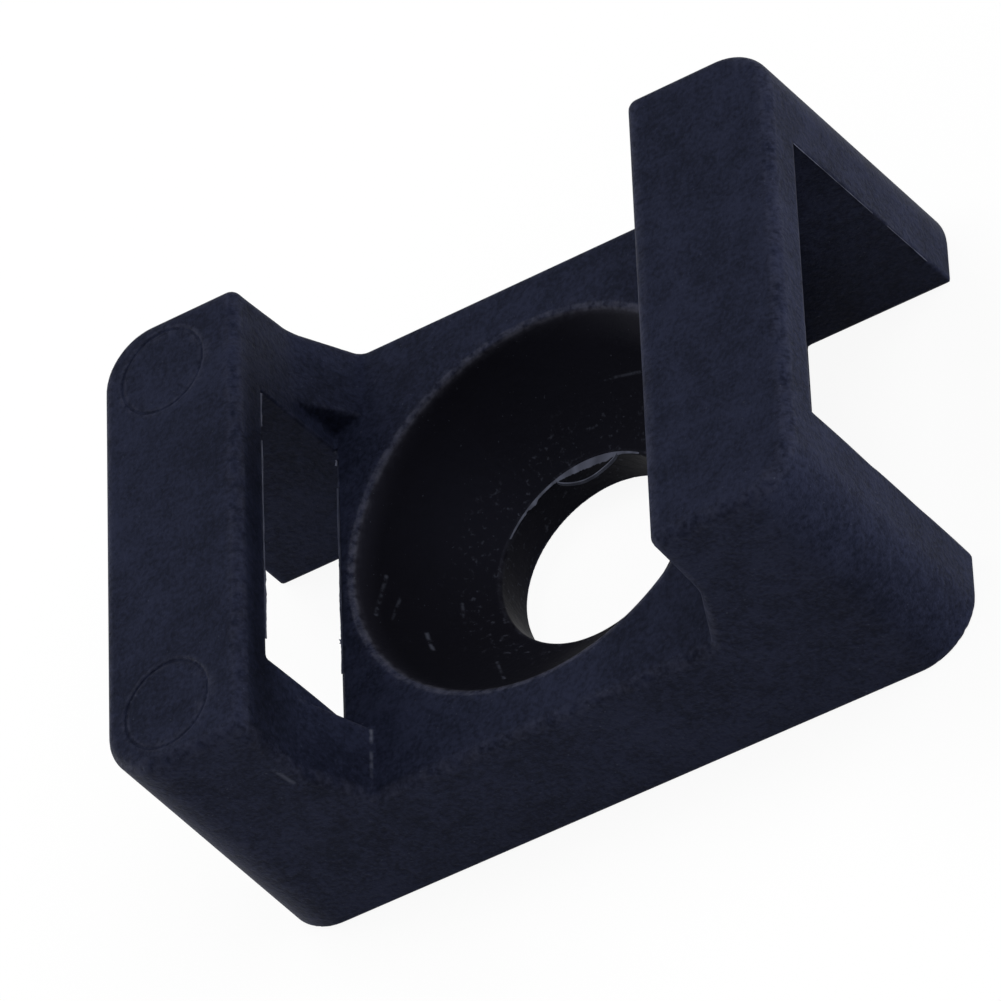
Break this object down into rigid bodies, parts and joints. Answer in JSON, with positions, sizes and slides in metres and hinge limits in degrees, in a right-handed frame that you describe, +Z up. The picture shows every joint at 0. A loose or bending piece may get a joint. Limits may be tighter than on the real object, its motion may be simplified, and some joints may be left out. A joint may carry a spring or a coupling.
{
  "type": "saddle cable tie mount",
  "caption": "Black nylon saddle mount: a screwed-down block with a dished screw seat between two uprights, and a slot under a bar in each upright for a cable tie.",
  "frame": {"origin": "centre of the underside, on the axis of the screw hole", "axes": "+X along the length, the way the cable tie runs; +Y across, the way the cables run; +Z up out of the surface that the mount is screwed to"},
  "size_m": [0.023, 0.016, 0.009],
  "materials": {
    "black_nylon": "fine moulded texture, satin on the edges"
  },
  "bodies": {
    "root": {"mount": "black_nylon"}
  },
  "joints": []
}
